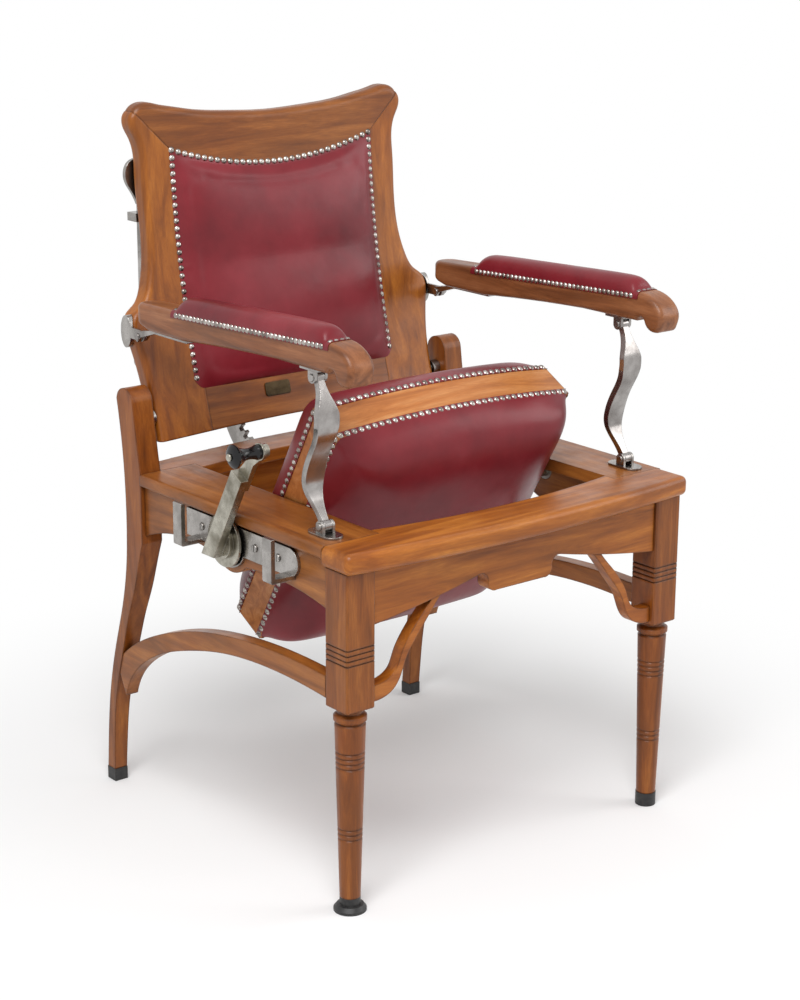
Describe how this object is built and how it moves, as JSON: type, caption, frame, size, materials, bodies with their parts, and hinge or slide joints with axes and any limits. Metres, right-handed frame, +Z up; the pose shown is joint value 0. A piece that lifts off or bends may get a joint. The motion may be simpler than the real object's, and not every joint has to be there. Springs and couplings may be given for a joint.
{
  "type": "reclining barber chair",
  "caption": "Antique wooden barber chair with a leather double-sided revolving seat, a reclining padded back, padded arms on bent iron posts, and an iron seat lever.",
  "frame": {"origin": "on the floor, under the shaft that the seat turns on, midway between the side boards", "axes": "+X to the sitter's left, +Y to the sitter's back, +Z up"},
  "size_m": [0.6673, 0.655, 0.9999],
  "materials": {
    "wood": "worn orange-brown varnish with darker edges",
    "backing": "plain dark board",
    "leather": "glossy worn burgundy leather",
    "nails": "bright domed heads",
    "iron": "nickel-plated iron, worn",
    "knob": "glossy black lacquer",
    "feet": "matte black"
  },
  "bodies": {
    "frame": {"front_leg_left": "wood", "front_leg_right": "wood", "front_board": "wood", "side_board_left": "wood", "side_board_right": "wood", "rear_board": "wood", "rear_leg_left": "wood", "rear_leg_right": "wood", "front_glide_right": "feet", "front_cap_left": "feet", "rear_caps": "feet", "side_rail_left": "wood", "side_rail_right": "wood", "front_apron": "wood", "rear_rail": "wood", "side_stretcher_left": "wood", "side_stretcher_right": "wood", "corner_brace_left": "wood", "corner_brace_right": "wood", "hook_plate": "iron", "plate_screws": "iron", "shaft_bushes": "iron", "shaft_cover_left": "iron", "back_pivot_pins": "iron", "post_feet": "iron", "ratchet_quadrant": "iron"},
    "seat": {"seat_ring": "wood", "seat_core": "wood", "seat_cushion_front": "leather", "seat_cushion_back": "leather", "seat_nails": "nails", "seat_shaft_left": "iron", "seat_shaft_right": "iron", "seat_lever": "iron", "knob_pin": "iron"},
    "knob": {"lever_knob": "knob"},
    "back": {"back_stile_left": "wood", "back_stile_right": "wood", "crest_rail": "wood", "back_bottom_rail": "wood", "back_panel": "backing", "back_pad": "leather", "back_nails": "nails", "back_plate": "iron", "arm_hinge_brackets": "iron", "rod_guides": "iron"},
    "arm_left": {"arm_left": "wood", "arm_pad_left": "leather", "arm_nails_left": "nails", "arm_irons_left": "iron"},
    "arm_right": {"arm_right": "wood", "arm_pad_right": "leather", "arm_nails_right": "nails", "arm_irons_right": "iron"},
    "post_left": {"arm_post_left": "iron"},
    "post_right": {"arm_post_right": "iron"},
    "rod": {"release_rod": "iron"},
    "pawl": {"pawl_shaft": "iron"}
  },
  "joints": [
    {"name": "seat_turn", "type": "hinge", "parent": "frame", "child": "seat", "pos_m": [0, 0, 0.457], "axis": [1, 0, 0], "range_deg": [-119, 61]},
    {"name": "knob_spin", "type": "hinge", "parent": "seat", "child": "knob", "pos_m": [-0.34, -0.09797, 0.60198], "axis": [1, 0, 0], "continuous": true},
    {"name": "back_recline", "type": "hinge", "parent": "frame", "child": "back", "pos_m": [0, 0.248, 0.568], "axis": [1, 0, 0], "range_deg": [-36, 0]},
    {"name": "arm_left_fold", "type": "hinge", "parent": "back", "child": "arm_left", "pos_m": [0.2702, 0.244, 0.688], "axis": [1, 0, 0], "range_deg": [0, 36.2]},
    {"name": "arm_right_fold", "type": "hinge", "parent": "back", "child": "arm_right", "pos_m": [-0.2702, 0.244, 0.688], "axis": [1, 0, 0], "range_deg": [0, 36.2]},
    {"name": "post_left_swing", "type": "hinge", "parent": "frame", "child": "post_left", "pos_m": [0.267, -0.172, 0.512], "axis": [1, 0, 0], "range_deg": [-22.3, 0]},
    {"name": "post_right_swing", "type": "hinge", "parent": "frame", "child": "post_right", "pos_m": [-0.267, -0.172, 0.512], "axis": [1, 0, 0], "range_deg": [-22.3, 0]},
    {"name": "release_slide", "type": "slide", "parent": "back", "child": "rod", "axis": [0, 0, 1], "range_m": [0, 0.0041]},
    {"name": "pawl_turn", "type": "hinge", "parent": "back", "child": "pawl", "pos_m": [-0.14, 0.304, 0.628], "axis": [1, 0, 0], "range_deg": [0, 7.2]}
  ],
  "couplings": [
    {"joint": "arm_left_fold", "follows": "back_recline", "ratio": -1.0034},
    {"joint": "arm_right_fold", "follows": "back_recline", "ratio": -1.0034},
    {"joint": "post_left_swing", "follows": "back_recline", "ratio": 0.6176},
    {"joint": "post_right_swing", "follows": "back_recline", "ratio": 0.6176},
    {"joint": "pawl_turn", "follows": "release_slide", "rad_per_m": 30.303}
  ]
}
